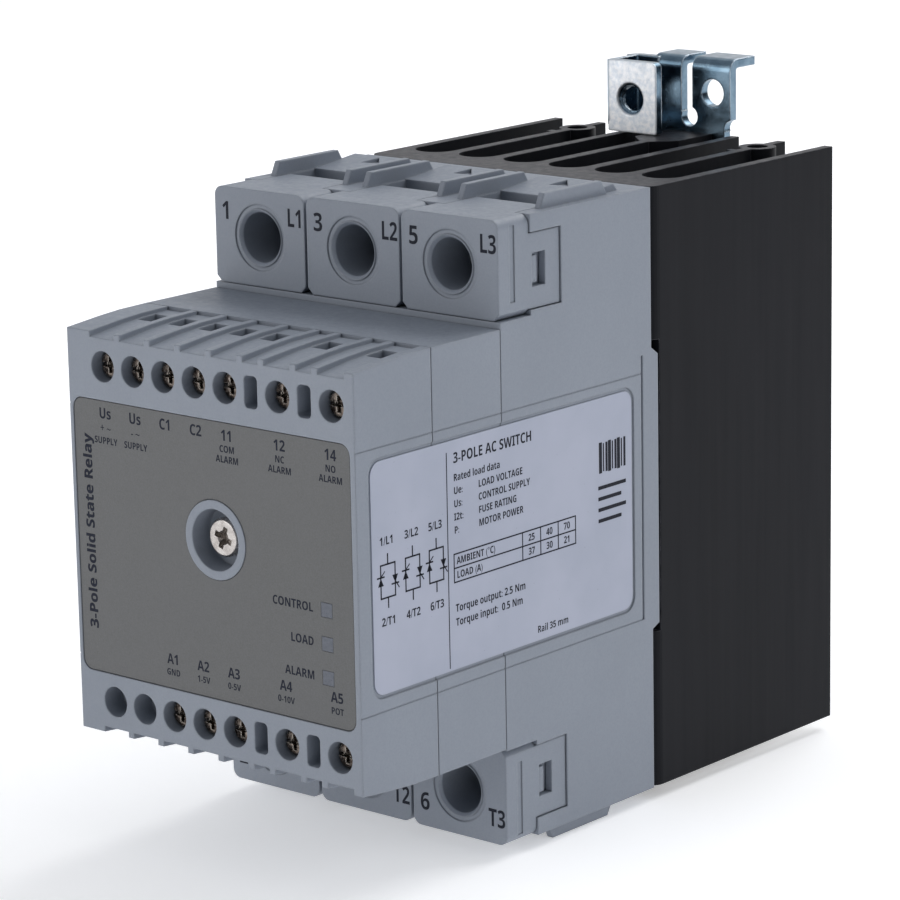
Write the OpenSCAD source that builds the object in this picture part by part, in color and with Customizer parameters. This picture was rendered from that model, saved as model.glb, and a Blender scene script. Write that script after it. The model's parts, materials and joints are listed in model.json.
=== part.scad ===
// Three-pole solid state relay with its heatsink, screw terminals and rail bracket.
// Built in device coordinates (x across, y from the front face backwards, z up from
// the heatsink's foot) and then moved so that the origin is the middle of the rail seat.

/* [Overall] */
// Width across the three poles
body_w = 70; // [60:0.5:80]
// Height of the heatsink and the power housing
body_h = 116.8; // [100:0.1:130]
// Depth of the front (control) cover
cover_d = 20.3; // [16:0.1:26]
// Distance from the front face to the power terminal faces
step_d = 39.5; // [34:0.1:46]
// Distance from the front face to the back of the power housing
housing_d = 83.4; // [75:0.1:90]
// Distance from the front face to the back of the heatsink
sink_d = 142.1; // [120:0.1:160]

/* [Control terminals] */
// Distance between neighbouring control terminals
ctl_pitch = 7.62; // [5:0.01:8]
// Distance between the spaced control terminals
ctl_gap = 12.7; // [10:0.1:14]
// Diameter of the screwdriver holes
ctl_hole = 5.8; // [5:0.1:6.2]
// Thread size of the control terminal screws
ctl_thread = 3; // [2.5:0.5:3.5]
// Travel of a control terminal clamp
ctl_travel = 3.3; // [2:0.1:3.4]

/* [Power terminals] */
// Diameter of the screwdriver holes in the terminal covers
pow_hole = 9.6; // [8:0.1:10]
// Height of the power terminal axes above the middle
pow_z = 49.4; // [46:0.1:50]
// Thread size of the power terminal screws
pow_thread = 6; // [5:0.5:6]
// Travel of a pressure plate
pow_travel = 5.4; // [4:0.1:5.8]

/* [Heatsink] */
// Number of fins
fins = 7; // [5:1:9]
// Width of a slot between two fins at the back
slot_w = 9.5; // [8:0.1:10]
// Depth of the solid base in front of the slots
base_t = 8.6; // [6:0.1:12]

/* [Rail bracket] */
// Sheet thickness of the bracket
sheet = 2; // [1.5:0.1:2.5]
// Height of the mounting rail
rail_h = 35; // [35:1:35]
// Height of the raised pad that the rail rests on
pad_h = 0.3; // [0.2:0.1:0.6]
// Depth of the top flange behind the front face
flange_d = 150.4; // [146:0.1:154]
// Travel of the rail latch
latch_travel = 4.5; // [3:0.1:4.5]
// Radius of the clearance hole for fixing to a panel
panel_r = 2.75; // [2.2:0.05:3]
// Wall radius of the tapped earth hole
earth_r = 2.75; // [2.4:0.05:3]

/* [Hidden] */
$fn = 48;
hw = body_w/2;
mid = body_h/2;
fmid = mid - 0.4;            // middle of the control part
pole = body_w/3;
back_y = sink_d + sheet;     // rear face of the bracket's sheet
seat_y = back_y + pad_h;     // rail seat plane
top_z = body_h + 15.2;       // top of the bracket
tab_top = body_h + 14.7;     // top of the earth tab
tab_z = body_h + 7.0;        // height of the earth thread
seam_w = 0.22;               // width of the seam between two housings
seam_d = 0.5;                // depth of that seam
mark_d = 0.1;                // depth of the faint lines above and below the label
latch_z = -2.5;              // lower end of the latch
col_grey = [0.60, 0.63, 0.67];
col_plate = [0.42, 0.42, 0.42];
col_black = [0.13, 0.13, 0.14];
col_zinc = [0.72, 0.76, 0.79];
col_steel = [0.35, 0.33, 0.31];
col_brass = [0.75, 0.60, 0.30];
col_copper = [0.78, 0.46, 0.30];
// control terminal positions across the front, left to right
ctl_x = [for (i = [0:4]) -26.1 + i*ctl_pitch, -26.1 + 4*ctl_pitch + ctl_gap, -26.1 + 4*ctl_pitch + 2*ctl_gap];
slot_x = [(ctl_x[4] + ctl_x[5])/2, (ctl_x[5] + ctl_x[6])/2];
ctl_z = fmid + 31.7;
scr_x = 0.9;                 // centre screw
scr_z = fmid + 3.4;
led_x = 27.35;
led_z = [fmid - 5.2, fmid - 11.4, fmid - 17.6];
pz = mid + pow_z;

// ---- helpers -------------------------------------------------------------
module place() { translate([0, -seat_y, -mid]) children(); }
module bx(x0, x1, y0, y1, z0, z1) { translate([x0, y0, z0]) cube([x1 - x0, y1 - y0, z1 - z0]); }
module ycyl(x, z, y0, y1, r) { translate([x, y0, z]) rotate([-90, 0, 0]) cylinder(h = y1 - y0, r = r); }
module ycone(x, z, y0, y1, r0, r1) {
  translate([x, y0, z]) rotate([-90, 0, 0]) cylinder(h = y1 - y0, r1 = r0, r2 = r1);
}
// outline in y and z, extruded along x
module xprism(pts, x0, x1) { translate([x0, 0, 0]) rotate([90, 0, 90]) linear_extrude(x1 - x0) polygon(pts); }
// outline in x and z, extruded along y
module yprism(pts, y0, y1) { translate([0, y1, 0]) rotate([90, 0, 0]) linear_extrude(y1 - y0) polygon(pts); }
module flip(m) { translate([0, 0, 2*m]) mirror([0, 0, 1]) children(); }
module both(m) {
  children();
  flip(m) children();
}
module sides() {
  children();
  mirror([1, 0, 0]) children();
}
function arc(cx, cy, r, a0, a1, n = 6) = [
  for (i = [0:n]) let (a = a0 + (a1 - a0)*i/n) [cx + r*cos(a), cy + r*sin(a)]];
function rrect(x0, y0, x1, y1, r) = concat(arc(x1 - r, y0 + r, r, -90, 0), arc(x1 - r, y1 - r, r, 0, 90),
  arc(x0 + r, y1 - r, r, 90, 180), arc(x0 + r, y0 + r, r, 180, 270));

// ---- features shared by the three housings' right side --------------------
module side_marks() {
  xprism(rrect(3.2, fmid - 21.4, 78.0, fmid + 22.2, 3), hw - 0.35, hw + 1);
  sides() for (z = [fmid - 23.7, fmid + 24.0]) bx(hw - mark_d, hw + 1, -1, 80.2, z - 0.15, z + 0.15);
}

// ---- control part ----------------------------------------------------------
module front_outline() {
  xprism([[0, fmid - 38], [0, fmid + 38], [8.3, fmid + 38.75], [13.6, fmid + 39.1], [cover_d, fmid + 39.2],
    [cover_d, fmid - 39.2], [13.6, fmid - 39.1], [8.3, fmid - 38.75]], -hw, hw);
}
module channel(xc, w) {
  xprism([[-1, fmid + 36.8], [8.3, fmid + 37.95], [13.6, fmid + 38.35], [cover_d + 0.1, fmid + 38.55],
    [cover_d + 0.1, fmid + 41], [-1, fmid + 41]], xc - w/2, xc + w/2);
}
module front_cover() {
  color(col_grey) difference() {
    front_outline();
    // hollow for the control board, with the tube for the centre screw left standing
    difference() {
      bx(-32.8, 32.8, 2.4, cover_d + 1, fmid - 23.6, fmid + 23.6);
      ycyl(scr_x, scr_z, 2, 16.4, 7.35);
    }
    // seat for the faceplate around the flush ring
    difference() {
      yprism(rrect(-34.2, fmid - 26.5, 33.8, fmid + 25.4, 2.2), -1, 0.7);
      ycyl(scr_x, scr_z, -2, 2, 7.35);
    }
    ycyl(scr_x, scr_z, -1, 4.6, 5.7);
    ycyl(scr_x, scr_z, 4, 17, 2.2);
    for (z = led_z) bx(led_x - 1.35, led_x + 1.35, 0, 3, z - 1.35, z + 1.35);
    both(fmid) {
      for (x = ctl_x) {
        ycyl(x, ctl_z, -1, 4.6, ctl_hole/2);
        ycyl(x, ctl_z, 4, 6, 1.7);
        bx(x - 3.15, x + 3.15, 5.2, 17.7, ctl_z - 3.7, ctl_z + 3.7);
        bx(x - 2.5, x + 2.5, 11.8, 16.5, ctl_z + 3.5, ctl_z + 9);
        bx(x - 2.1, x + 2.1, 10.5, 12, fmid + 23.5, ctl_z - 3.5);
        channel(x, 6.2);
      }
      for (x = slot_x) {
        channel(x, 3.7);
        yprism(rrect(x - 1.6, ctl_z - 2.95, x + 1.6, ctl_z + 2.95, 0.9), -1, 6);
      }
    }
    side_marks();
  }
}
module faceplate() {
  color(col_plate) difference() {
    yprism(rrect(-34.05, fmid - 26.35, 33.65, fmid + 25.25, 2.05), 0.12, 0.7);
    ycyl(scr_x, scr_z, -1, 2, 7.45);
    for (z = led_z) bx(led_x - 1.35, led_x + 1.35, -1, 2, z - 1.35, z + 1.35);
  }
}
module light_pipes() {
  color([0.66, 0.68, 0.72]) for (z = led_z) bx(led_x - 1.3, led_x + 1.3, 0.12, 15.4, z - 1.3, z + 1.3);
}
module side_label() {
  color([0.86, 0.87, 0.92]) xprism(rrect(3.9, fmid - 20.7, 77.4, fmid + 21.5, 2.5), hw - 0.35, hw - 0.15);
}
module control_board() {
  color([0.10, 0.35, 0.22]) difference() {
    bx(-32, 32, 17, 18.6, fmid - 22.9, fmid + 22.9);
    ycyl(scr_x, scr_z, 16, 20, 7.7);
  }
}
module control_components() {
  color([0.12, 0.12, 0.13]) {
    for (z = led_z) bx(led_x - 1.2, led_x + 1.2, 15.6, 17, z - 1.2, z + 1.2);
    bx(-14, -4, 5.2, 17, fmid - 20, fmid - 6);
    bx(-29, -19, 14.8, 17, fmid + 2, fmid + 12);
    bx(-28, -21, 15, 17, fmid - 16, fmid - 9);
    ycyl(15, fmid - 12, 7, 17, 4);
    ycyl(17, fmid + 12, 9, 17, 3.2);
    // pin header to the driver board
    bx(-30, -24, 18.6, 26.9, mid + 3, mid + 13);
    for (i = [0:3]) bx(-27.4, -26.8, 26.9, 55, mid + 3.9 + 2.54*i, mid + 4.5 + 2.54*i);
  }
}
module contact(x) {
  xprism([[10.9, fmid + 21.4], [17, fmid + 21.4], [17, fmid + 22.1], [11.6, fmid + 22.1],
    [11.6, ctl_z + 2.9], [10.9, ctl_z + 2.9]], x - 1.75, x + 1.75);
}
module control_contacts() {
  color(col_brass) {
    for (x = ctl_x) contact(x);
    flip(fmid) for (i = [2:6]) contact(ctl_x[i]);
  }
}
module ctl_screw(i) {
  x = ctl_x[i];
  color(col_steel) difference() {
    union() {
      ycone(x, ctl_z, 1.95, 2.35, 2.15, 2.55);
      ycyl(x, ctl_z, 2.35, 4.3, 2.55);
      ycyl(x, ctl_z, 4.3, 10.5, ctl_thread/2 - 0.05);
    }
    bx(x - 2.7, x + 2.7, 1, 2.75, ctl_z - 0.35, ctl_z + 0.35);
    bx(x - 0.45, x + 0.45, 1, 3.2, ctl_z - 1.5, ctl_z + 1.5);
    bx(x - 1.5, x + 1.5, 1, 3.2, ctl_z - 0.45, ctl_z + 0.45);
  }
}
module ctl_clamp(i) {
  x = ctl_x[i];
  color(col_zinc) difference() {
    bx(x - 2.8, x + 2.8, 8.8, 17.3, ctl_z - 3.3, ctl_z + 3.3);
    bx(x - 2.1, x + 2.1, 10.2, 16.5, ctl_z - 4, ctl_z + 4);
    ycyl(x, ctl_z, 8, 11, ctl_thread/2);
  }
}
// open seam around the housing at depth y
module seam(y) {
  difference() {
    bx(-hw - 1, hw + 1, y, y + seam_w, fmid - 41, fmid + 41);
    bx(-hw + seam_d, hw - seam_d, y - 1, y + 1, fmid - 39.2 + seam_d, fmid + 39.2 - seam_d);
  }
}
module mid_housing() {
  color(col_grey) difference() {
    bx(-hw, hw, cover_d, step_d, fmid - 39.2, fmid + 39.2);
    bx(-32.8, 32.8, cover_d - 1, 28, fmid - 24.5, fmid + 24.5);
    bx(-32.8, 32.8, 30, step_d + 1, fmid - 36.8, fmid + 36.8);
    bx(-31, -22, 27, 31, mid - 15, mid + 15);
    bx(22, 31, 27, 31, mid - 15, mid + 15);
    ycyl(scr_x, scr_z, 27, 31, 2.2);
    side_marks();
    seam(cover_d);
    seam(step_d - seam_w);
  }
}
module centre_screw() {
  color([0.78, 0.76, 0.73]) difference() {
    union() {
      ycone(scr_x, scr_z, 2.0, 2.5, 3.2, 3.6);
      ycyl(scr_x, scr_z, 2.5, 4.6, 3.6);
      ycyl(scr_x, scr_z, 4.6, 50, 2);
    }
    for (a = [0, 90]) translate([scr_x, 0, scr_z]) rotate([0, a + 20, 0]) {
      bx(-0.55, 0.55, 1, 4.0, -2.1, 2.1);
    }
    ycone(scr_x, scr_z, 1.9, 3.9, 1.35, 0.5);
  }
}

// ---- power part --------------------------------------------------------------
module poles() { for (i = [-1:1]) translate([i*pole, 0, 0]) children(); }
module rear_top_cuts() {
  bx(-hw - 1, hw + 1, step_d - 1, 48.15, mid + 39.95, body_h + 1);
  poles() {
    bx(-8.4, 8.4, 48, 57.3, mid + 56.6, body_h + 1);
    sides() bx(9.65, 11.8, 48, 56.95, mid + 40.9, mid + 55.1);
    bx(-8.5, 8.5, 48, 67.3, pz - 6.1, pz + 6.1);
    bx(-8.4, 8.4, 57.3, 64.3, pz + 6, body_h + 1);
    bx(-6.5, 6.5, 63.3, 65.9, mid + 37, pz - 6);
  }
  bx(-32.6, 32.6, 69, 80.2, mid + 36, mid + 54);
}
module rear_top_adds() {
  poles() {
    sides() {
      // guard ribs beside the wire entry
      xprism([[53.4, body_h - 1], [53.4, body_h], [54.7, body_h + 2.7], [71.2, body_h + 2.7],
        [72.8, body_h], [72.8, body_h - 1]], 8.5, 9.8);
      // snap hooks that hold the terminal cover
      bx(9.6, 10.9, 49.4, 50.8, mid + 45.7, mid + 50.6);
    }
    difference() {
      // sloping pad with a three-cornered pocket
      xprism([[64.3, body_h - 1], [64.3, body_h + 0.1], [76.2, body_h + 1.4], [77.4, body_h],
        [77.4, body_h - 1]], -8.6, 8.6);
      translate([0, 0, body_h + 0.5]) linear_extrude(2)
        polygon([[-2.6, 71.2], [1.6, 71.6], [-1.4, 75.2]]);
    }
  }
}
module rear_housing() {
  color(col_grey) difference() {
    union() {
      difference() {
        bx(-hw, hw, step_d, housing_d, 0, body_h);
        bx(-32.6, 32.6, 41.7, 80.2, mid - 37.4, mid + 37.4);
        bx(-32.8, 32.8, 80.1, housing_d + 1, mid - 52.6, mid + 52.6);
        both(mid) rear_top_cuts();
      }
      both(mid) rear_top_adds();
      ycyl(scr_x, scr_z, 41, 52, 4.5);
      // side strips that reach over the heatsink's corners
      sides()
        xprism([[82.6, mid - 27], [85.4, mid - 25.8], [85.4, mid + 26.6], [82.6, mid + 28.6]],
          hw - 1.9, hw);
    }
    bx(-31, -22, 39, 42, mid - 15, mid + 15);
    ycyl(scr_x, scr_z, 39, 50.5, 2.02);
    sides() bx(hw - 0.5, hw + 1, 80.2, 80.8, mid - 24.2, mid + 27);
    side_marks();
  }
}
module terminal_cover() {
  z0 = mid + 40.1;
  difference() {
    union() {
      yprism(concat([[-11.35 + 1.2, z0], [11.35 - 1.2, z0], [11.35, z0 + 1.2]],
        arc(11.35 - 1.8, body_h - 1.8, 1.8, 0, 90), arc(-11.35 + 1.8, body_h - 1.8, 1.8, 90, 180),
        [[-11.35, z0 + 1.2]]), step_d, 48);
      bx(-8.2, 8.2, 47.9, 57.1, body_h - 1.6, body_h);
      sides() bx(9.85, 11.35, 47.9, 56.7, mid + 41.1, mid + 54.9);
      // driver guide that reaches to the clamp screw
      ycyl(0, pz, 47, 50.9, 5.9);
    }
    difference() {
      bx(-9.85, 9.85, 41.5, 49, z0 + 1.6, body_h - 1.6);
      ycyl(0, pz, 41, 47.8, 6.2);
      ycyl(0, pz, 47, 50, 5.9);
    }
    ycyl(0, pz, 39, 52, pow_hole/2);
    ycone(0, pz, step_d - 0.01, 40.1, 5.4, pow_hole/2);
    // shallow step around the mouth
    difference() {
      ycyl(0, pz, 39, 39.75, 6.35);
      ycyl(0, pz, 38, 41, 5.5);
    }
    sides() {
      bx(9.7, 12, 49.0, 52.7, mid + 45.0, mid + 51.2);
      bx(11.12, 12, 42.7, 44.1, mid + 43, mid + 57);
    }
  }
}
module terminal_covers() { color(col_grey) both(mid) poles() terminal_cover(); }
module clamp_frame() {
  difference() {
    bx(-8.2, 8.2, 51.2, 67, pz - 5.8, pz + 5.8);
    bx(-6.6, 6.6, 54.4, 65.6, pz - 7, pz + 7);
    ycyl(0, pz, 50, 56, pow_thread/2);
  }
}
module clamp_frames() { color(col_zinc) both(mid) poles() clamp_frame(); }
module busbars() {
  color(col_copper) both(mid) poles()
    xprism([[63.6, mid + 25.6], [69.8, mid + 25.6], [69.8, mid + 15.6], [71.8, mid + 15.6],
      [71.8, mid + 27.6], [65.6, mid + 27.6], [65.6, pz + 4.6], [63.6, pz + 4.6]], -6.1, 6.1);
}
module thyristor_modules() {
  color([0.20, 0.20, 0.22]) poles() bx(-9, 9, 71.8, 80.2, mid - 21, mid + 21);
}
module driver_board() {
  color([0.10, 0.35, 0.22]) bx(-30, 30, 55, 56.6, mid - 24, mid + 24);
}
module driver_components() {
  color([0.14, 0.25, 0.55]) {
    poles() {
      ycyl(0, mid + 14, 56.6, 60.6, 5);
      bx(-4.5, 4.5, 51, 55, mid - 8, mid - 1.5);
    }
    bx(8, 26, 46, 55, mid - 20, mid - 11);
    bx(-18, -8, 56.6, 64, mid - 18, mid - 4);
  }
}
module base_plate() {
  color([0.70, 0.71, 0.73]) difference() {
    bx(-32.6, 32.6, 80.2, housing_d, mid - 52.4, mid + 52.4);
    sides() both(mid) ycyl(28.5, mid + 42.4, 79, 84, 2.2);
  }
}
module thermal_pad() {
  color([0.55, 0.56, 0.58]) difference() {
    bx(-31.5, 31.5, housing_d, housing_d + 0.2, mid - 51, mid + 51);
    sides() both(mid) ycyl(28.5, mid + 42.4, 80, 84, 2.6);
  }
}

// ---- heatsink ------------------------------------------------------------------
fy = housing_d + 0.2;
fpitch = (body_w - 2)/(fins - 1);
module sink_outline() {
  polygon(concat([[-hw, sink_d], [-hw, fy + 2.6]], arc(-hw + 2.6, fy + 2.6, 2.6, 180, 270),
    arc(hw - 2.6, fy + 2.6, 2.6, 270, 360), [[hw, sink_d]]));
}
module heatsink() {
  color(col_black) difference() {
    linear_extrude(body_h) {
      difference() {
        sink_outline();
        for (i = [0:fins - 2]) translate([-hw + 1 + fpitch*(i + 0.5), 0]) {
          translate([0, fy + base_t + 4.4]) circle(r = 4.4);
          polygon([[-4.4, fy + base_t + 4.4], [4.4, fy + base_t + 4.4],
            [slot_w/2, sink_d + 1], [-slot_w/2, sink_d + 1]]);
        }
      }
      // screw channels on the second and sixth fins
      for (s = [-1, 1]) difference() {
        union() {
          translate([s*2*fpitch, 134]) circle(r = 3.7);
          translate([s*2*fpitch - 2.3, 126.9]) square([2.3, 1.6]);
        }
        translate([s*2*fpitch, 134]) circle(r = 2.1);
      }
      // thick end of the middle fin, which takes the bracket screws
      polygon([[-1.2, 127], [1.2, 127], [5.5, 131], [5.5, sink_d], [-5.5, sink_d], [-5.5, 131]]);
    }
    for (s = [-1, 1]) translate([s*2*fpitch, 134, -1]) cylinder(h = body_h + 2, r = 2.1);
    sides() both(mid) ycyl(28.5, mid + 42.4, fy - 1, 90.6, 2.02);
    for (z = [mid + 41.6, mid - 12.4]) ycyl(0, z, 131.5, sink_d + 1, 2.02);
    sides() bx(hw - 2.2, hw + 1, fy - 1, 85.9, mid - 27.6, mid + 29.2);
  }
}
module fixing_screws() {
  color(col_zinc) {
    sides() both(mid) difference() {
      union() {
        ycyl(28.5, mid + 42.4, 76.9, 80.2, 3.5);
        ycyl(28.5, mid + 42.4, 80.2, 90, 2);
      }
      bx(28, 29, 76, 78.6, mid + 40.2, mid + 44.6);
      bx(26.3, 30.7, 76, 78.6, mid + 41.9, mid + 42.9);
    }
    for (z = [mid + 41.6, mid - 12.4]) difference() {
      union() {
        ycone(0, z, sink_d, back_y, 2, 3.9);
        ycyl(0, z, 132.5, sink_d, 2);
      }
      bx(-0.5, 0.5, back_y - 1.2, back_y + 1, z - 2, z + 2);
      bx(-2, 2, back_y - 1.2, back_y + 1, z - 0.5, z + 0.5);
    }
  }
}

// ---- rail bracket ----------------------------------------------------------------
riv_z = [29.5, 4.2];
hook_z = mid + rail_h/2 + 0.8;
bend_r = 2.4;                // outer radius of the sheet's bends
// flat plate that turns backwards over a bend into the top flange
module flange() {
  z1 = top_z - sheet + 0.2;
  xprism(concat([[sink_d, 117.4]], arc(sink_d + bend_r, top_z - bend_r, bend_r, 180, 90),
    [[flange_d, top_z], [flange_d, z1]],
    arc(back_y + 0.6, z1 - 0.6, 0.6, 90, 180), [[back_y, 117.4]]), -9.2, 10.1);
}
// strip that leaves the plate on the left, folds forwards and then across as the earth tab
module earth_tab() {
  x0 = -15.2;
  y0 = 133;
  intersection() {
    translate([0, 0, 118.2]) linear_extrude(tab_top - 118.2)
      polygon(concat([[-8, back_y]], arc(x0 + bend_r, back_y - bend_r, bend_r, 90, 180),
        arc(x0 + bend_r, y0 + bend_r, bend_r, 180, 270), [[-1.7, y0], [-1.7, y0 + sheet]],
        arc(x0 + sheet + 0.4, y0 + sheet + 0.4, 0.4, 270, 180),
        arc(x0 + sheet + 0.4, sink_d - 0.4, 0.4, 180, 90), [[-8, sink_d]]));
    yprism(rrect(x0, 118.2 - 3, -1.7, tab_top, 1.2), y0 - 1, sink_d - 0.5);
  }
  intersection() {
    translate([0, 0, 118.2]) linear_extrude(tab_top - 118.2)
      polygon(concat([[-8, back_y]], arc(x0 + bend_r, back_y - bend_r, bend_r, 90, 180),
        [[x0, y0 + 4], [x0 + sheet, y0 + 4]],
        arc(x0 + sheet + 0.4, sink_d - 0.4, 0.4, 180, 90), [[-8, sink_d]]));
    bx(x0, 0, sink_d - 1, back_y, 117, tab_top);
  }
  yprism(rrect(x0 + 1.4, body_h + 0.3, -1.7, 119, 0.3), y0, y0 + sheet);
}
module mounting_bracket() {
  color(col_zinc) difference() {
    union() {
      bx(-8.6, 8.6, sink_d, back_y, 0.5, body_h + 1.9);
      bx(-7, 7, back_y - 1, seat_y, mid - 11, mid + 11);
      flange();
      earth_tab();
      // hook over the rail's upper lip
      xprism([[back_y - 1, hook_z], [seat_y + 1.6, hook_z], [seat_y + 1.6, hook_z - 4.3],
        [seat_y + 3.5, hook_z - 4.3], [seat_y + 3.5, hook_z + 2], [back_y - 1, hook_z + 2]], -7, 7);
      // stop for the latch spring
      bx(-2.3, 2.3, back_y - 1, seat_y + 4.1, 12.9, 14.3);
    }
    // slot between the two halves of the plate, with its round foot
    bx(-2.1, 0.6, sink_d - 1, flange_d + 1, body_h + 4, top_z + 1);
    ycyl(-0.1, body_h + 3.1, sink_d - 1, back_y + 1, 2);
    // relief in the plate's lower right corner
    ycyl(10.4, 118, sink_d - 1, back_y + 1, 1.8);
    ycyl(5.7, body_h + 8.3, sink_d - 1, back_y + 1, panel_r);
    ycyl(-8.2, tab_z, 132, 136, earth_r);
    ycone(-8.2, tab_z, 132.99, 133.6, 3.5, earth_r);
    for (z = [mid + 41.6, mid - 12.4]) ycone(0, z, sink_d - 0.02, back_y + 0.02, 2.07, 3.97);
    for (z = riv_z) ycyl(0, z, sink_d - 1, back_y + 1, 2.02);
  }
}
module rail_latch() {
  y0 = seat_y + 0.25;
  y1 = y0 + 1.8;
  lip = mid - rail_h/2;
  color(col_zinc) difference() {
    union() {
      bx(-8, 8, y0, y1, latch_z, lip - 0.6);
      // nose that grips the rail's lower lip
      xprism([[y1 - 0.3, lip - 2.5], [y1 + 1.7, lip - 1.5], [y1 + 1.7, lip + 2.7],
        [y1 + 0.9, lip + 3.7], [y1 - 0.1, lip + 3.7], [y1 - 0.1, lip - 0.7], [y1 - 0.3, lip - 0.7]], -7, 7);
      // pull tab with a slot for a screwdriver
      bx(-8, 8, y0, flange_d, latch_z, latch_z + 1.8);
    }
    for (z = riv_z) {
      ycyl(0, z, y0 - 1, y1 + 1, 2.3);
      ycyl(0, z + latch_travel + 0.2, y0 - 1, y1 + 1, 2.3);
      bx(-2.3, 2.3, y0 - 1, y1 + 1, z, z + latch_travel + 0.2);
    }
    bx(-2.7, 2.7, y0 - 1, y1 + 1, 12.3, 25.2);
    bx(-3.2, 3.2, y1 + 0.8, y1 + 2.8, latch_z - 1, latch_z + 3);
  }
}
module latch_rivets() {
  color([0.62, 0.64, 0.66]) for (z = riv_z) {
    ycyl(0, z, sink_d + 0.02, seat_y + 2.4, 2);
    ycyl(0, z, seat_y + 2.4, seat_y + 3.6, 3.9);
  }
}
// helix tube for the latch spring
sp_r = 1.55;      // radius of the coil
sp_w = 0.3;       // radius of the wire
sp_z0 = 14.6;     // lower end
sp_z1 = 24.9;     // upper end
sp_turns = 6;
sp_k = 8;         // points round the wire
sp_n = 90;        // steps along the coil
function sp_pt(t, a) = let (th = 360*sp_turns*t, q = sp_r + sp_w*cos(a))
  [q*cos(th), q*sin(th), sp_z0 + (sp_z1 - sp_z0)*t + sp_w*sin(a)];
module latch_spring() {
  pts = [for (i = [0:sp_n], j = [0:sp_k - 1]) sp_pt(i/sp_n, 360*j/sp_k)];
  faces = concat([[for (j = [0:sp_k - 1]) j]], [[for (j = [sp_k - 1:-1:0]) sp_n*sp_k + j]],
    [for (i = [0:sp_n - 1], j = [0:sp_k - 1])
      [i*sp_k + j, (i + 1)*sp_k + j, (i + 1)*sp_k + (j + 1)%sp_k, i*sp_k + (j + 1)%sp_k]]);
  color([0.5, 0.5, 0.52]) translate([0, seat_y + 2.15, 0]) polyhedron(pts, faces);
}
module pow_screw(i) {
  x = i*pole;
  color([0.55, 0.55, 0.56]) difference() {
    union() {
      ycone(x, pz, 48, 48.6, 2.4, pow_thread/2 - 0.05);
      ycyl(x, pz, 48.6, 55.1, pow_thread/2 - 0.05);
      ycyl(x, pz, 55, 57, 1.7);
    }
    bx(x - 0.5, x + 0.5, 47, 50.6, pz - 1.9, pz + 1.9);
    bx(x - 1.9, x + 1.9, 47, 50.6, pz - 0.5, pz + 0.5);
  }
}
module pow_plate(i) {
  color(col_zinc) difference() {
    bx(i*pole - 6.2, i*pole + 6.2, 55.3, 57.2, pz - 4.6, pz + 4.6);
    ycyl(i*pole, pz, 54, 58, 1.78);
  }
}

// ---- assembly ---------------------------------------------------------------------
place() front_cover();
place() faceplate();
place() side_label();
place() light_pipes();
place() control_board();
place() control_components();
place() control_contacts();
place() mid_housing();
place() centre_screw();
place() rear_housing();
place() terminal_covers();
place() clamp_frames();
place() busbars();
place() thyristor_modules();
place() driver_board();
place() driver_components();
place() base_plate();
place() thermal_pad();
place() heatsink();
place() fixing_screws();
place() mounting_bracket();
place() rail_latch();
place() latch_rivets();
place() latch_spring();
for (i = [1:7]) place() ctl_screw(i - 1);
for (i = [3:7]) place() flip(fmid) ctl_screw(i - 1);
for (i = [1:7]) place() ctl_clamp(i - 1);
for (i = [3:7]) place() flip(fmid) ctl_clamp(i - 1);
for (i = [1:3]) place() pow_screw(i - 2);
for (i = [1:3]) place() flip(mid) pow_screw(i - 2);
for (i = [1:3]) place() pow_plate(i - 2);
for (i = [1:3]) place() flip(mid) pow_plate(i - 2);
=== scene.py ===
"""Looks, light and camera for the three-pole solid state relay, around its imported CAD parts."""
import json
import math
from string import ascii_lowercase, ascii_uppercase, digits

import bmesh
import bpy
from mathutils import Matrix, Vector

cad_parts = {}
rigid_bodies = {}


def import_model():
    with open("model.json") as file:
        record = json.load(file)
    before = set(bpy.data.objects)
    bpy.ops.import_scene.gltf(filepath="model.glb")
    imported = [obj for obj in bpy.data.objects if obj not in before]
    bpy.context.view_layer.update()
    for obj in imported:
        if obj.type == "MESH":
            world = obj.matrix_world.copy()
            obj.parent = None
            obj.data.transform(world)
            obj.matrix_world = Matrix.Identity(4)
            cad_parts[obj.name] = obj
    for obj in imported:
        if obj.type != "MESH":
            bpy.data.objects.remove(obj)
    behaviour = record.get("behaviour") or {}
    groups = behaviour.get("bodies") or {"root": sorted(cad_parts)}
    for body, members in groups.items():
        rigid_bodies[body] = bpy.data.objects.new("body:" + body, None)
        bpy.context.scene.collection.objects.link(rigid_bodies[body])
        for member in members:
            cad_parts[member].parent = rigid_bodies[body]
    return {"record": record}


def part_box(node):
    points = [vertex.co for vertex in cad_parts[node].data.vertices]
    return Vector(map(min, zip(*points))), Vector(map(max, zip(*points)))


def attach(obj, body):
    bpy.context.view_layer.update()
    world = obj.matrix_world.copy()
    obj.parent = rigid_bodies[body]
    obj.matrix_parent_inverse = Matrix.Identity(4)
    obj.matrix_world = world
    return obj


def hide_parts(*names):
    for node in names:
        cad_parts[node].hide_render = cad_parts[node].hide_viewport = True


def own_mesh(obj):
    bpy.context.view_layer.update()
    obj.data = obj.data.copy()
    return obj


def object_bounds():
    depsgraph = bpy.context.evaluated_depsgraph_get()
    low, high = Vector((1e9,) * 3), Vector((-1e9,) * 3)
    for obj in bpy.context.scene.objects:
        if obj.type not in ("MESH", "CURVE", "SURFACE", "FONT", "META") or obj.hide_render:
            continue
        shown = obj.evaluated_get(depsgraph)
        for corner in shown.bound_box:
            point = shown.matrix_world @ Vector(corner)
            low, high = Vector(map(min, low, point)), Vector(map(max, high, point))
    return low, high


MM = 0.001

for leftover in list(bpy.data.objects):
    bpy.data.objects.remove(leftover)

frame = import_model()
CAD_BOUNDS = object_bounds()


def corner(node, high=False):
    """Low or high corner of a CAD node's box, in metres."""
    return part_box(node)[1 if high else 0]


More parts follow.
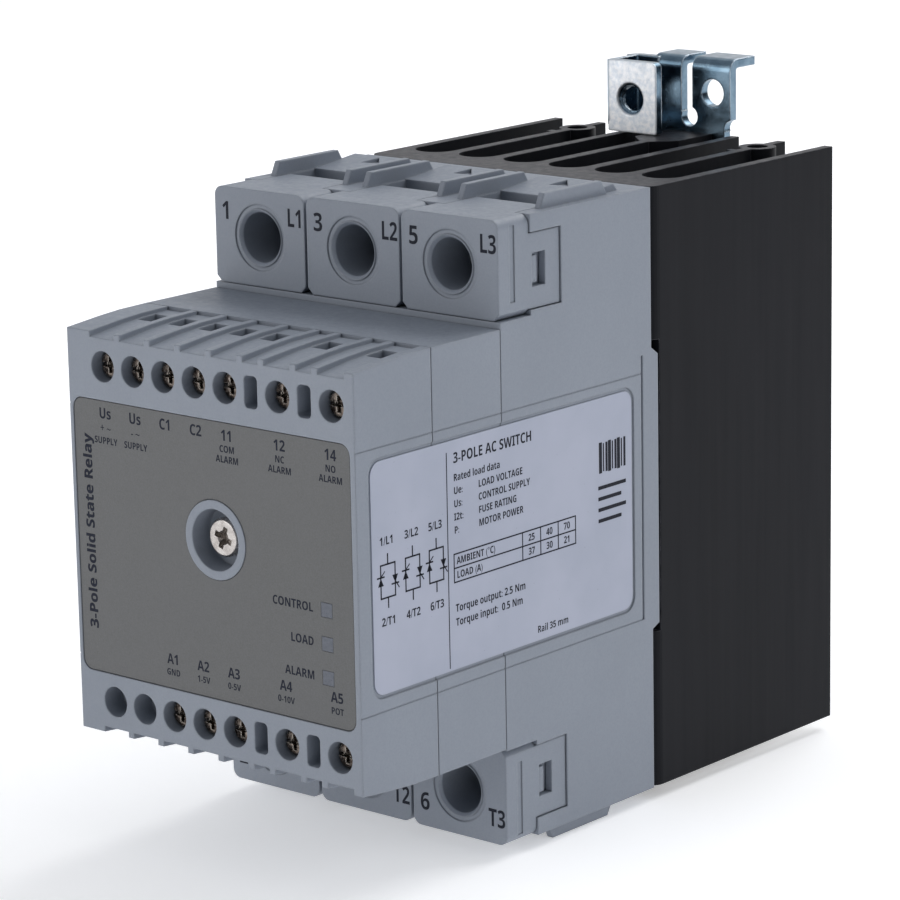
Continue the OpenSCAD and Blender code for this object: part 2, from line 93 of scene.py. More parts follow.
FRONT_Y = corner("front_cover").y
FOOT_Z = corner("heatsink").z


def at(x, y, z):
    """A place in the row frame: millimetres across, behind the front face, above the heatsink's foot."""
    return Vector((x * MM, FRONT_Y + y * MM, FOOT_Z + z * MM))


def middle(node):
    """Middle of a CAD node in the same millimetres as at()."""
    low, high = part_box(node)
    centre = (low + high) / 2
    return Vector((centre.x, centre.y - FRONT_Y, centre.z - FOOT_Z)) / MM


def srgb(r, g, b):
    """Linear colour, with alpha, from display values of 0 to 255."""
    channels = [c / 255 for c in (r, g, b)]
    return [c / 12.92 if c <= 0.04045 else ((c + 0.055) / 1.055) ** 2.4 for c in channels] + [1.0]


def lifted(tone, step):
    """Linear colour of a display tone with step added to each channel."""
    return srgb(*(min(255, channel + step) for channel in tone))


# ---- materials ------------------------------------------------------------------
class Look:
    """One node material. The helpers add nodes and return the socket that carries their result."""

    def __init__(self, slot, roughness=0.5, metallic=0.0, radius=0.3):
        self.material = bpy.data.materials.get(slot) or bpy.data.materials.new(slot)
        self.material.use_nodes = True
        self.tree = self.material.node_tree
        self.tree.nodes.clear()
        self.skin = self.node("ShaderNodeBsdfPrincipled")
        self.skin.inputs["Roughness"].default_value = roughness
        self.skin.inputs["Metallic"].default_value = metallic
        output = self.node("ShaderNodeOutputMaterial")
        self.tree.links.new(self.skin.outputs["BSDF"], output.inputs["Surface"])
        self.place = self.node("ShaderNodeTexCoord").outputs["Object"]
        self.facing = self.node("ShaderNodeNewGeometry").outputs["Normal"]
        self.normal = None
        if radius:
            rounded = self.node("ShaderNodeBevel", samples=4)
            rounded.inputs["Radius"].default_value = radius * MM
            self.normal = rounded.outputs["Normal"]
            self.feed(self.skin.inputs["Normal"], self.normal)
        self.rounded = self.normal

    def node(self, kind, **settings):
        made = self.tree.nodes.new(kind)
        for name, value in settings.items():
            setattr(made, name, value)
        return made

    def feed(self, socket, value):
        """Links a socket, or sets a constant."""
        if isinstance(value, bpy.types.NodeSocket):
            self.tree.links.new(value, socket)
        else:
            socket.default_value = value

    def math(self, operation, a, b=0.0):
        made = self.node("ShaderNodeMath", operation=operation)
        self.feed(made.inputs[0], a)
        self.feed(made.inputs[1], b)
        return made.outputs[0]

    def noise(self, size, stretch=(1, 1, 1), detail=3.0, roughness=0.55):
        """Noise whose blotches are about size millimetres, drawn out along the axes by stretch."""
        scaled = self.node("ShaderNodeVectorMath", operation="MULTIPLY")
        self.feed(scaled.inputs[0], self.place)
        scaled.inputs[1].default_value = [1 / s for s in stretch]
        made = self.node("ShaderNodeTexNoise")
        self.feed(made.inputs["Vector"], scaled.outputs[0])
        made.inputs["Scale"].default_value = 1 / (size * MM)
        made.inputs["Detail"].default_value = detail
        made.inputs["Roughness"].default_value = roughness
        return made.outputs["Fac"]

    def ranged(self, value, low, high, to_low=0.0, to_high=1.0):
        made = self.node("ShaderNodeMapRange")
        self.feed(made.inputs["Value"], value)
        for name, limit in zip(("From Min", "From Max", "To Min", "To Max"), (low, high, to_low, to_high)):
            made.inputs[name].default_value = limit
        return made.outputs["Result"]

    def mix(self, factor, a, b):
        made = self.node("ShaderNodeMix", data_type="RGBA")
        self.feed(made.inputs["Factor"], factor)
        self.feed(made.inputs["A"], a)
        self.feed(made.inputs["B"], b)
        return made.outputs["Result"]

    def edges(self, low=0.03, high=0.3):
        """1 along corners, over the width that the material rounds them, and 0 on flat faces."""
        dot = self.node("ShaderNodeVectorMath", operation="DOT_PRODUCT")
        self.feed(dot.inputs[0], self.rounded)
        self.feed(dot.inputs[1], self.facing)
        return self.ranged(self.math("SUBTRACT", 1.0, dot.outputs["Value"]), low, high)

    def cavity(self, reach, depth=0.7):
        """Painted shade: a multiplier that darkens grooves and corners narrower than reach millimetres."""
        # painted shade from an ambient occlusion node, multiplied into the colour
        made = self.node("ShaderNodeAmbientOcclusion", samples=6)
        made.inputs["Distance"].default_value = reach * MM
        return self.ranged(made.outputs["AO"], 0.25, 0.8, 1 - depth, 1.0)

    def tinted(self, colour, amount):
        made = self.node("ShaderNodeMix", data_type="RGBA", blend_type="MULTIPLY")
        made.inputs["Factor"].default_value = 1.0
        self.feed(made.inputs["A"], colour)
        self.feed(made.inputs["B"], amount)
        return made.outputs["Result"]

    def upright(self, low=0.6, high=0.9):
        """1 on faces that point up or down, 0 on upright ones."""
        parts = self.node("ShaderNodeSeparateXYZ")
        self.feed(parts.inputs[0], self.facing)
        return self.ranged(self.math("ABSOLUTE", parts.outputs["Z"]), low, high)

    def bump(self, height, depth):
        """Adds relief: depth is in millimetres between 0 and 1 of height."""
        made = self.node("ShaderNodeBump")
        made.inputs["Strength"].default_value = 1.0
        made.inputs["Distance"].default_value = depth * MM
        self.feed(made.inputs["Height"], height)
        if self.normal:
            self.feed(made.inputs["Normal"], self.normal)
        self.normal = made.outputs["Normal"]
        self.feed(self.skin.inputs["Normal"], self.normal)

    def colour(self, value):
        self.feed(self.skin.inputs["Base Color"], value)

    def rough(self, value):
        self.feed(self.skin.inputs["Roughness"], value)


def moulded_grey():
    """Light grey moulded plastic: fine spark-eroded grain, faint flow tone, painted highlights along its
    edges and painted shade in its grooves.
    """
    look = Look("grey_housing", 0.5, radius=0.5)
    flow = look.ranged(look.noise(30, (1, 1, 2)), 0.3, 0.7)
    base = look.mix(flow, srgb(129, 136, 147), srgb(136, 143, 154))
    speck = look.ranged(look.noise(0.45, detail=2), 0.42, 0.62, 0.0, 0.22)
    grain = look.mix(speck, base, srgb(121, 127, 139))
    # painted highlight: the edges are mixed towards a lighter grey
    painted_highlight = look.mix(look.math("MULTIPLY", look.edges(), 0.5), grain, srgb(162, 168, 179))
    # painted shade: grooves and corners are darkened by the ambient occlusion multiplier
    look.colour(look.tinted(painted_highlight, look.cavity(0.45, 0.45)))
    look.rough(look.ranged(look.noise(1.2), 0.3, 0.7, 0.42, 0.58))
    look.bump(look.noise(0.3, detail=2), 0.018)
    look.bump(look.noise(9), 0.05)


def faceplate_film():
    """Dark warm grey film with a fine leathery texture and a darker cut rim."""
    look = Look("faceplate", 0.5, radius=0.2)
    tone = look.ranged(look.noise(0.32, detail=2), 0.35, 0.65)
    base = look.mix(tone, srgb(87, 88, 88), srgb(94, 95, 96))
    wide = look.ranged(look.noise(22), 0.35, 0.65, 0.0, 0.35)
    look.colour(look.mix(look.math("MULTIPLY", look.edges(), 0.8), look.mix(wide, base, srgb(93, 94, 96)),
                         srgb(58, 58, 58)))
    look.rough(look.ranged(look.noise(0.8), 0.3, 0.7, 0.4, 0.55))
    look.bump(look.noise(0.34, detail=2), 0.035)


def label_film():
    """Satin bluish white label with slight waviness and a few lint specks."""
    look = Look("label", 0.35, radius=0.1)
    cloud = look.ranged(look.noise(16), 0.35, 0.65)
    base = look.mix(cloud, srgb(158, 164, 181), srgb(166, 171, 188))
    lint = look.ranged(look.noise(0.6, detail=1), 0.74, 0.8, 0.0, 0.4)
    look.colour(look.mix(lint, base, srgb(120, 124, 140)))
    look.rough(look.ranged(look.noise(3), 0.3, 0.7, 0.28, 0.42))
    look.bump(look.noise(7, detail=1), 0.04)
    look.bump(look.noise(0.25, detail=1), 0.004)


def frosted_window():
    """Frosted bluish grey window."""
    look = Look("light_pipe", 0.35, radius=0.2)
    look.colour(look.mix(look.ranged(look.noise(0.7), 0.3, 0.7), srgb(82, 87, 97), srgb(94, 99, 110)))
    look.rough(look.ranged(look.noise(0.4), 0.3, 0.7, 0.25, 0.45))
    look.bump(look.noise(0.2, detail=1), 0.01)


def anodised():
    """Black anodised extrusion: die lines along its length, sawn ends with bare glints."""
    look = Look("black_anodised", 0.42)
    die = look.noise(0.5, (1, 1, 220), detail=4, roughness=0.6)
    tone = look.ranged(die, 0.35, 0.65)
    side = look.mix(tone, srgb(23, 24, 28), srgb(25, 26, 30))
    blotch = look.ranged(look.noise(26, (1, 1, 3)), 0.4, 0.7, 0.0, 0.5)
    side = look.mix(blotch, side, srgb(27, 28, 33))
    saw = look.noise(0.18, (60, 1, 1), detail=3, roughness=0.7)
    end = look.mix(look.ranged(saw, 0.35, 0.65), srgb(40, 39, 42), srgb(58, 57, 61))
    cut = look.upright()
    worn = look.math("MULTIPLY", look.edges(), look.ranged(look.noise(2.2), 0.4, 0.6, 0.15, 0.8))
    look.colour(look.mix(worn, look.mix(cut, side, end), srgb(112, 112, 118)))
    look.feed(look.skin.inputs["Metallic"], look.ranged(cut, 0, 1, 0.0, 0.15))
    look.feed(look.skin.inputs["Specular IOR Level"], look.ranged(cut, 0, 1, 0.09, 0.12))
    roughness = look.mix(cut, [0.46] * 3 + [1], [0.42] * 3 + [1])
    look.rough(look.math("ADD", roughness, look.ranged(look.noise(1.5, (1, 1, 30)), 0.3, 0.7, -0.05, 0.05)))
    look.bump(look.math("MULTIPLY", die, look.math("SUBTRACT", 1.0, cut)), 0.0012)
    look.bump(look.math("MULTIPLY", saw, cut), 0.012)


EARTH_FACE_Y = 133          # front of the earth tab, whose face gets a matte, near white painted highlight


def bright_zinc():
    """Bluish bright zinc over rolled sheet: clouded gloss, painted highlights on its edges and a matte, near
    white painted highlight on the earth tab's face.
    """
    look = Look("zinc", 0.25, 1.0, radius=0.5)
    cloud = look.ranged(look.noise(3.2, detail=4), 0.35, 0.65)
    base = look.mix(cloud, srgb(96, 119, 136), srgb(122, 144, 160))
    parts = look.node("ShaderNodeSeparateXYZ")
    look.feed(parts.inputs[0], look.place)
    fades_from, full_from = EARTH_FACE_Y + 0.4, EARTH_FACE_Y + 0.1
    # painted highlight: the earth tab's front face, above the heatsink, is mixed towards near white and made
    # rougher
    painted_highlight = look.ranged(parts.outputs["Y"], at(0, fades_from, 0).y, at(0, full_from, 0).y)
    above = look.math("GREATER_THAN", parts.outputs["Z"], corner("heatsink", True).z)
    painted_tab_highlight = look.math("MULTIPLY", painted_highlight, above)
    highlight_mottle = look.ranged(look.noise(0.9, detail=4), 0.35, 0.65)
    highlight_tone = look.mix(highlight_mottle, srgb(224, 231, 239), srgb(252, 253, 255))
    base = look.mix(painted_tab_highlight, base, highlight_tone)
    # painted highlight: edges are mixed towards a light bluish grey
    look.colour(look.mix(look.math("MULTIPLY", look.edges(), 0.7), base, srgb(228, 234, 240)))
    gloss = look.ranged(look.noise(1.4), 0.3, 0.7, 0.16, 0.28)
    look.rough(look.math("ADD", gloss, look.math("MULTIPLY", painted_tab_highlight, 0.34)))
    look.bump(look.noise(0.6, detail=3), 0.004)
    look.bump(look.noise(5), 0.04)


def nickel_steel():
    """Warm bright nickel with fine turning scratches."""
    look = Look("nickel_steel", 0.25, 1.0, radius=0.2)
    base = look.mix(look.ranged(look.noise(1.2), 0.35, 0.65), srgb(176, 170, 166), srgb(204, 199, 195))
    # painted highlight: edges are mixed towards a lighter nickel
    look.colour(look.mix(look.edges(), base, srgb(226, 222, 218)))
    look.rough(look.ranged(look.noise(0.5), 0.3, 0.7, 0.2, 0.36))
    look.bump(look.noise(0.2, detail=2), 0.006)


def dark_steel():
    """Dark bronze-toned shiny plating with bright painted highlights along the edges of the screw slots."""
    look = Look("dark_steel", 0.22, 1.0, radius=0.4)
    base = look.mix(look.ranged(look.noise(0.9), 0.4, 0.6), srgb(58, 50, 46), srgb(124, 114, 106))
    # painted highlight: edges are mixed towards a light bronze
    look.colour(look.mix(look.edges(), base, srgb(206, 198, 188)))
    look.rough(look.ranged(look.noise(0.5), 0.3, 0.7, 0.16, 0.34))
    look.bump(look.noise(0.3, detail=2), 0.01)


def plain_metal(slot, dark, light, roughness, grain):
    """Inner metal part: two-tone cloud, painted highlights along its edges and drawn grain along its length.
    """
    look = Look(slot, roughness, 1.0)
    base = look.mix(look.ranged(look.noise(2), 0.35, 0.65), srgb(*dark), srgb(*light))
    # painted highlight: edges are mixed towards a lighter tone of the metal
    look.colour(look.mix(look.math("MULTIPLY", look.edges(), 0.5), base, lifted(light, 30)))
    look.rough(look.ranged(look.noise(0.8, grain), 0.3, 0.7, roughness - 0.08, roughness + 0.1))
    look.bump(look.noise(0.3, grain, detail=3), 0.01)


def plain_resin(slot, dark, light, roughness, speck=0.8):
    """Inner moulded, coated or laminated part: mottled tone and an uneven skin."""
    look = Look(slot, roughness)
    base = look.mix(look.ranged(look.noise(speck), 0.35, 0.65), srgb(*dark), srgb(*light))
    # painted highlight: edges are mixed towards a lighter tone of the resin
    look.colour(look.mix(look.math("MULTIPLY", look.edges(), 0.4), base, lifted(light, 25)))
    look.rough(look.ranged(look.noise(1.5), 0.3, 0.7, roughness - 0.08, roughness + 0.1))
    look.bump(look.noise(0.5, detail=2), 0.015)


def ink(name, tone):
    """Matte printing ink with slightly uneven cover."""
    look = Look(name, 0.55, radius=0)
    look.colour(look.mix(look.ranged(look.noise(0.5), 0.35, 0.7), srgb(*tone), lifted(tone, 10)))
    look.rough(look.ranged(look.noise(0.6), 0.3, 0.7, 0.5, 0.62))
    look.feed(look.skin.inputs["Specular IOR Level"], 0.15)
    look.bump(look.noise(0.2, detail=1), 0.003)
    return look.material


def paint_everything():
    """Fills every material slot that the record names."""
    moulded_grey()
    faceplate_film()
    label_film()
    frosted_window()
    anodised()
    bright_zinc()
    nickel_steel()
    dark_steel()
    plain_metal("brass", (168, 140, 84), (196, 168, 108), 0.3, (1, 1, 6))
    plain_metal("copper", (176, 108, 78), (206, 134, 98), 0.3, (1, 1, 6))
    plain_metal("aluminium", (168, 170, 174), (192, 194, 198), 0.36, (6, 1, 1))
    plain_resin("board", (22, 78, 46), (30, 96, 56), 0.4)
    plain_resin("components", (24, 24, 26), (38, 38, 41), 0.5)
    plain_resin("film_parts", (34, 58, 128), (44, 72, 150), 0.3)
    plain_resin("module_resin", (40, 40, 44), (54, 54, 59), 0.55, 1.5)
    plain_resin("graphite", (66, 66, 70), (84, 84, 88), 0.5, 0.5)


# ---- print ------------------------------------------------------------------------
INK_PROUD = 0.02            # millimetres that print stands above its surface
LINE = 0.22                 # width of a thin printed line
SMALL_PRINT = 2.05          # capitals lower than this are printed bold


# first code points of the capitals, small letters and digits of each sans-serif style
STYLES = {
    "plain": (0x1D5A0, 0x1D5BA, 0x1D7E2),
    "bold": (0x1D5D4, 0x1D5EE, 0x1D7EC),
}


def sans(body, style):
    """The same words in a sans-serif style, from the text font's own styled letters."""
    styled = {}
    for start, letters in zip(STYLES[style], (ascii_uppercase, ascii_lowercase, digits)):
        styled.update({ord(letter): start + i for i, letter in enumerate(letters)})
    return body.translate(styled)


class Printed:
    """Print on one flat face. Places on it are in millimetres: across, and up from the heatsink's foot."""

    def __init__(self, name, origin, across, out):
        self.name = name
        self.mesh = bmesh.new()
        up = Vector((0, 0, 1))
        self.base = Matrix((across, up, out)).transposed().to_4x4()
        self.base.translation = origin

    def add(self, source, shift=Matrix.Identity(4)):
        source.transform(self.base @ Matrix.Scale(MM, 4) @ shift)
        self.mesh.from_mesh(source)
        bpy.data.meshes.remove(source)

    def text(self, body, x, z, cap, align="CENTER", style=None, narrow=0.9, turned=False, swell=0.0):
        """Generic lettering centred on z: capitals cap high, strokes fatter by swell of that height.

        Small print is bold unless a style is given. Turned lettering reads upwards."""
        curve = LETTERING.data
        curve.body = sans(body, style or ("bold" if cap < SMALL_PRINT else "plain"))
        curve.size = cap / CAP_SHARE
        curve.align_x = align
        curve.offset = swell * cap
        bpy.context.view_layer.update()
        shaped = LETTERING.evaluated_get(bpy.context.evaluated_depsgraph_get())
        source = bpy.data.meshes.new_from_object(shaped)
        turn = Matrix.Rotation(math.pi / 2, 4, "Z") if turned else Matrix.Identity(4)
        centring = Matrix.Translation((0, -cap / 2, 0))
        self.add(source, Matrix.Translation((x, z, 0)) @ turn @ Matrix.Diagonal((narrow, 1, 1, 1)) @ centring)

    def shape(self, points):
        """A filled polygon, given anticlockwise."""
        made = bmesh.new()
        low = [made.verts.new((x, z, -INK_PROUD)) for x, z in points]
        high = [made.verts.new((x, z, INK_PROUD)) for x, z in points]
        made.faces.new(reversed(low))
        made.faces.new(high)
        for i in range(len(points)):
            j = (i + 1) % len(points)
            made.faces.new((low[i], low[j], high[j], high[i]))
        source = bpy.data.meshes.new("shape")
        made.to_mesh(source)
        made.free()
        self.add(source)

    def line(self, x0, z0, x1, z1, width=LINE):
        along = Vector((x1 - x0, z1 - z0)).normalized() * width / 2
        side = Vector((along.y, -along.x))
        a, b = Vector((x0, z0)) - along, Vector((x1, z1)) + along
        self.shape([(a + side)[:], (b + side)[:], (b - side)[:], (a - side)[:]])

    def done(self, material):
        bmesh.ops.remove_doubles(self.mesh, verts=self.mesh.verts, dist=1e-7)
        bmesh.ops.recalc_face_normals(self.mesh, faces=self.mesh.faces)
        data = bpy.data.meshes.new(self.name)
        self.mesh.to_mesh(data)
        self.mesh.free()
        obj = bpy.data.objects.new(self.name, data)
        bpy.context.scene.collection.objects.link(obj)
        data.materials.append(material)
        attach(obj, "relay")
        return obj


def lettering():
    """The text object that shapes all print, and its capitals' height as a share of its size."""
    curve = bpy.data.curves.new("lettering", "FONT")
    curve.body = sans("H", "plain")
    curve.resolution_u = 3
    carrier = bpy.data.objects.new("lettering", curve)
    bpy.context.scene.collection.objects.link(carrier)
    bpy.context.view_layer.update()
    share = carrier.dimensions.y
    curve.extrude = INK_PROUD
    return carrier, share


LETTERING, CAP_SHARE = lettering()
RIGHTWARDS, BACKWARDS = Vector((1, 0, 0)), Vector((0, 1, 0))


def faceplate_print():
    """Terminal numbers, function words and the reading-upwards title on the faceplate."""
    plate = Printed("print_faceplate", Vector((0, corner("faceplate").y, FOOT_Z)), RIGHTWARDS, -BACKWARDS)
    upper = [("Us", "+ ~", "SUPPLY"), ("Us", "- ~", "SUPPLY"), ("C1",), ("C2",),
             ("11", "COM", "ALARM"), ("12", "NC", "ALARM"), ("14", "NO", "ALARM")]
    for i, words in enumerate(upper, 1):
        x = min(middle(f"ctl_screw_top{i}").x, 29.1)
        plate.text(words[0], x, 81.0, 2.0)
        if words[0] == "Us":
            plate.text(words[1], x, 78.3, 1.5)
            plate.text(words[2], x, 75.9, 1.25)
        elif len(words) > 1:
            plate.text(words[1], x, 78.5, 1.25)
            plate.text(words[2], x, 76.6, 1.25)
    for i, word in zip(range(3, 8), ("GND", "1-5V", "0-5V", "0-10V", "POT")):
        x = min(middle(f"ctl_screw_low{i}").x, 29.3)
        plate.text(f"A{i - 2}", x, 37.2, 1.9)
        plate.text(word, x, 34.7, 1.2)
    low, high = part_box("light_pipes")
    pitch = ((high.z - low.z) / MM - 2.6) / 2
    for i, word in enumerate(("CONTROL", "LOAD", "ALARM")):
        z = (high.z - FOOT_Z) / MM - 1.3 - pitch * i
        plate.text(word, low.x / MM - 1.9, z, 1.6, align="RIGHT")
    plate.text("3-Pole Solid State Relay", -31.0, 58.2, 2.1, style="bold", narrow=1.08, turned=True,
               swell=0.02)
    plate.done(ink("ink_faceplate", (24, 28, 42)))


def cover_print():
    """Terminal numbers and pole names on the six power covers."""
    front = corner("terminal_covers").y
    covers = Printed("print_covers", Vector((0, front, FOOT_Z)), RIGHTWARDS, -BACKWARDS)
    for pole in (1, 2, 3):
        top, low = middle(f"pow_screw_l{pole}"), middle(f"pow_screw_t{pole}")
        places = ((top, 4.6, 2 * pole - 1, f"L{pole}"), (low, -4.0, 2 * pole, f"T{pole}"))
        for centre, rise, number, name in places:
            covers.text(str(number), centre.x - 8.5, centre.z + rise - 0.1, 3.4, style="bold")
            covers.text(name, centre.x + 9.0, centre.z + rise, 3.4, style="bold", narrow=0.76)
    covers.done(ink("ink_covers", (24, 27, 38)))


def switch_symbol(label, x, z, half_w, half_h):
    """Two opposed thyristors in a loop, with a lead above and below."""
    arrow, bar, lead, stroke = 0.75, 0.85, 1.8, 0.3
    for side in (-1, 1):
        edge, tip = x + side * half_w, -side
        label.line(edge, z - half_h, edge, z + half_h, stroke)
        reach = arrow * tip
        label.shape([(edge - reach, z - reach), (edge + reach, z - reach), (edge, z + reach)])
        bar_z = z + bar * tip
        label.line(edge - bar, bar_z, edge + bar, bar_z, stroke)
        label.line(edge + 0.2, bar_z + 0.2, edge + 1.0, bar_z + 0.9 * tip)     # the gate's lead
    for end in (-1, 1):
        cross_z = z + end * half_h
        label.line(x - half_w, cross_z, x + half_w, cross_z, stroke)
        label.line(x, cross_z, x, cross_z + end * lead, stroke)


def label_print():
    """Rating lines, table, switch symbols and a plain block of stripes on the side label."""
    origin = Vector((corner("side_label", True).x, FRONT_Y, FOOT_Z))
    label = Printed("print_label", origin, BACKWARDS, RIGHTWARDS)
    label.line(24.2, 77.4, 24.2, 37.9)
    label.text("3-POLE AC SWITCH", 26.0, 76.2, 1.9, align="LEFT", style="bold")
    rows = [("Rated load data", ""), ("Ue:", "LOAD VOLTAGE"), ("Us:", "CONTROL SUPPLY"),
            ("I2t:", "FUSE RATING"), ("P:", "MOTOR POWER")]
    for i, (head, value) in enumerate(rows):
        z = 72.6 - 2.4 * i
        label.text(head, 26.0, z, 1.3, align="LEFT")
        label.text(value, 32.8, z, 1.3, align="LEFT")
    left, right, top, foot = 25.8, 60.4, 58.6, 53.4
    columns = [left, 45.0, 50.2, 55.3, right]
    for z in (top, (top + foot) / 2, foot):
        label.line(left, z, right, z, 0.26)
    for x in columns:
        label.line(x, foot, x, top, 0.26)
    table = [("AMBIENT (°C)", "25", "40", "70"), ("LOAD (A)", "37", "30", "21")]
    for z, cells in zip((57.3, 54.7), table):
        label.text(cells[0], left + 0.7, z, 1.3, align="LEFT")
        for a, b, word in zip(columns[1:], columns[2:], cells[1:]):
            label.text(word, (a + b) / 2, z, 1.3)
    label.text("Torque output: 2.5 Nm", 26.0, 48.6, 1.4, align="LEFT")
    label.text("Torque input:  0.5 Nm", 26.0, 46.0, 1.4, align="LEFT")
    label.text("Rail 35 mm", 53.5, 39.4, 1.3)
    for i in range(9):
        stripe = 68.0 + 0.9 * i
        label.line(stripe, 70.6, stripe, 65.6, (0.9, 0.35, 0.6)[i % 3])
    for i in range(4):
        label.line(67.6, 62.4 - 2.1 * i, 75.2 - 1.4 * (i % 2), 62.4 - 2.1 * i, 0.7)
    for pole, x in enumerate((8.0, 14.6, 21.0), 1):
        switch_symbol(label, x, 57.7, 1.9, 3.0)
        label.text(f"{2 * pole - 1}/L{pole}", x - 0.2, 65.0, 1.5)
        label.text(f"{2 * pole}/T{pole}", x, 50.4, 1.5)
    label.done(ink("ink_label", (22, 24, 34)))


# ---- earth thread and latch spring -----------------------------------------------------
def closed_tube(name, rings, material):
    """A closed solid skinned over rings of points. It rides the relay."""
    made = bmesh.new()
    rows = [[made.verts.new(point) for point in ring] for ring in rings]
    for a, b in zip(rows, rows[1:]):
        for j in range(len(a)):
            k = (j + 1) % len(a)
            made.faces.new((a[j], b[j], b[k], a[k])).smooth = len(a) > 3
    made.faces.new(rows[0])
    made.faces.new(reversed(rows[-1]))
    bmesh.ops.recalc_face_normals(made, faces=made.faces)
    data = bpy.data.meshes.new(name)
    made.to_mesh(data)
    made.free()
    obj = bpy.data.objects.new(name, data)
    bpy.context.scene.collection.objects.link(obj)
    data.materials.append(bpy.data.materials[material])
    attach(obj, "relay")
    return obj


def earth_thread():
    """Thread ridge inside the earth tab's hole, drawn finer than the 1 mm pitch of an M6 screw."""
    mount = next(m for m in frame["record"]["mounts"] if m["name"] == "earth_thread")
    centre = Vector(mount["pos_m"])
    radius = mount["dims"]["r_mm"] * MM
    depth = mount["dims"]["length_mm"] * MM
    pitch, ridge, root = 0.7 * MM, 0.3 * MM, 0.05 * MM      # root: how far it sits in the wall
    flank, inset = 0.34 * pitch, 0.35 * pitch               # half its width, and its way in from each mouth
    steps, run_out = 24, 8                                  # rings in a turn, and rings that taper an end
    thinnest = 0.05                                         # share of the ridge left at its ends
    count = int((depth - 0.1 * MM) / pitch * steps)
    rings = []
    for i in range(count + 1):
        angle = 2 * math.pi * i / steps
        crest = radius - ridge * max(thinnest, min(1, i / run_out, (count - i) / run_out))
        y = centre.y - depth / 2 + inset + (depth - 2 * inset) * i / count
        profile = [(radius + root, -flank), (crest, 0.0), (radius + root, flank)]
        rings.append([(centre.x + r * math.cos(angle), y + shift, centre.z + r * math.sin(angle))
                      for r, shift in profile])
    closed_tube("earth_thread_ridge", rings, "zinc")


def latch_spring():
    """Round-wire coil in place of the CAD spring."""
    low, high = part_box("latch_spring")
    centre = (low + high) / 2
    wire, turns, steps, sides = 0.3 * MM, 6, 32, 10
    radius = (high.x - low.x) / 2 - wire
    count = turns * steps
    rings = []
    for i in range(count + 1):
        angle = 2 * math.pi * i / steps
        z = low.z + wire + (high.z - low.z - 2 * wire) * i / count
        around = [2 * math.pi * j / sides for j in range(sides)]
        rings.append([(centre.x + (radius + wire * math.cos(a)) * math.cos(angle),
                       centre.y + (radius + wire * math.cos(a)) * math.sin(angle), z + wire * math.sin(a))
                      for a in around])
    coil = closed_tube("latch_spring_coil", rings, "nickel_steel")
    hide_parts("latch_spring")
    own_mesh(coil)


# ---- studio --------------------------------------------------------------------------
def sweep():
    """White studio sweep: a floor that curves up into a wall behind the object."""
    floor_z = CAD_BOUNDS[0][2] - 0.05 * MM
    near, flat, bend, wall, half = -4.0, 2.2, 0.8, 4.0, 5.0
    steps = 12
    outline = [(near, 0.0)]
    for i in range(steps + 1):
        angle = math.pi / 2 * i / steps
        outline.append((flat + bend * math.sin(angle), bend * (1 - math.cos(angle))))
    outline.append((flat + bend, wall))
    made = bmesh.new()
    rows = []
    for y, z in outline:
        rows.append([made.verts.new((x, y, floor_z + z)) for x in (-half, half)])
    for a, b in zip(rows, rows[1:]):
        made.faces.new((a[0], a[1], b[1], b[0])).smooth = True
    data = bpy.data.meshes.new("studio_sweep")
    made.to_mesh(data)
    made.free()
    obj = bpy.data.objects.new("studio_sweep", data)
    bpy.context.scene.collection.objects.link(obj)
    obj.rotation_euler.z = math.radians(CAMERA_AZIMUTH)
    look = Look("studio_paper", 0.9, radius=0)
    look.colour(look.mix(look.ranged(look.noise(300), 0.3, 0.7), srgb(246, 246, 247), srgb(250, 250, 251)))
    look.bump(look.noise(2, detail=2), 0.02)
    look.feed(look.skin.inputs["Emission Color"], srgb(255, 255, 255))
    look.feed(look.skin.inputs["Emission Strength"], 0.34)
    data.materials.append(look.material)


AIM = at(-34.6, 106.0, 52.7)
CAMERA_AZIMUTH = 40.70
CAMERA_ELEVATION = 13.28
CAMERA_ROLL = -1.09
CAMERA_DISTANCE = 0.8
CAMERA_LENS = 156.22
LIGHT_DISTANCE = 1.6


def direction(azimuth, elevation):
    """Unit vector from the object towards azimuth degrees right of the front and elevation above."""
    a, e = math.radians(azimuth), math.radians(elevation)
    return Vector((math.sin(a) * math.cos(e), -math.cos(a) * math.cos(e), math.sin(e)))


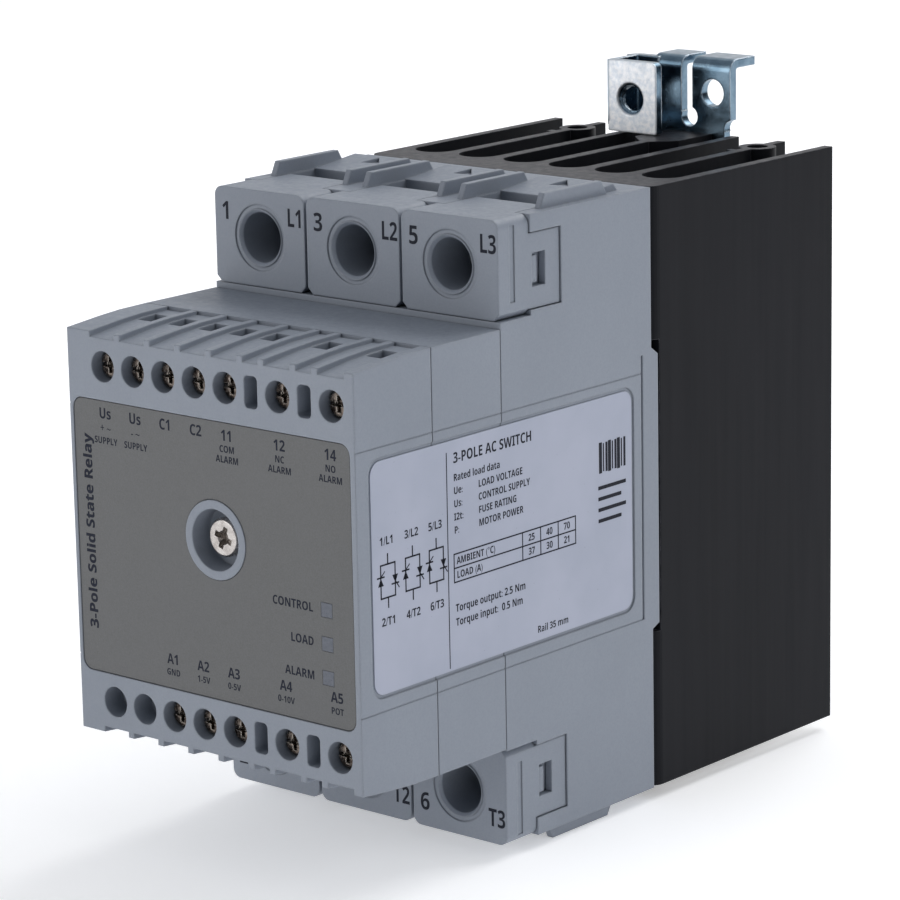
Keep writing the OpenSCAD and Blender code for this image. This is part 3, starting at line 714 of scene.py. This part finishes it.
def camera():
    """Long lens, a little to the right and above."""
    data = bpy.data.cameras.new("camera")
    data.lens = CAMERA_LENS
    data.sensor_width = 36
    data.clip_start = 0.05
    obj = bpy.data.objects.new("camera", data)
    back = direction(CAMERA_AZIMUTH, CAMERA_ELEVATION)
    roll = Matrix.Rotation(math.radians(CAMERA_ROLL), 4, "Z")
    turn = back.to_track_quat("Z", "Y").to_matrix().to_4x4() @ roll
    turn.translation = AIM + back * CAMERA_DISTANCE
    obj.matrix_world = turn
    bpy.context.scene.collection.objects.link(obj)
    bpy.context.scene.camera = obj


def softbox(name, azimuth, elevation, size, power, tint=(1, 1, 1)):
    """Rectangular light of size metres and power watts that faces the object."""
    data = bpy.data.lights.new(name, "AREA")
    data.shape = "RECTANGLE"
    data.size, data.size_y = size
    data.energy = power
    data.color = tint
    obj = bpy.data.objects.new(name, data)
    back = direction(azimuth, elevation)
    obj.matrix_world = back.to_track_quat("Z", "Y").to_matrix().to_4x4()
    obj.matrix_world.translation = back * LIGHT_DISTANCE
    bpy.context.scene.collection.objects.link(obj)


def studio_light():
    """Even, slightly cool light from both sides over a white surround."""
    softbox("key", azimuth=-28, elevation=14, size=(1.1, 0.9), power=8, tint=(1.0, 0.99, 0.98))
    softbox("fill", azimuth=100, elevation=22, size=(1.2, 1.3), power=5.5, tint=(0.96, 0.98, 1.0))
    softbox("top", azimuth=170, elevation=52, size=(1.4, 0.9), power=14)
    world = bpy.data.worlds.new("surround")
    world.use_nodes = True
    background = world.node_tree.nodes["Background"]
    place = world.node_tree.nodes.new("ShaderNodeTexCoord")
    height = world.node_tree.nodes.new("ShaderNodeSeparateXYZ")
    ramp = world.node_tree.nodes.new("ShaderNodeMapRange")
    world.node_tree.links.new(place.outputs["Generated"], height.inputs[0])
    world.node_tree.links.new(height.outputs["Z"], ramp.inputs["Value"])
    for name, value in (("From Min", 0.1), ("From Max", 0.75), ("To Min", 0.04), ("To Max", 0.45)):
        ramp.inputs[name].default_value = value
    background.inputs["Color"].default_value = srgb(244, 248, 255)
    world.node_tree.links.new(ramp.outputs["Result"], background.inputs["Strength"])
    bpy.context.scene.world = world
    bpy.context.scene.view_settings.view_transform = "Standard"


paint_everything()
faceplate_print()
cover_print()
label_print()
bpy.data.objects.remove(LETTERING)
earth_thread()
latch_spring()
sweep()
camera()
studio_light()
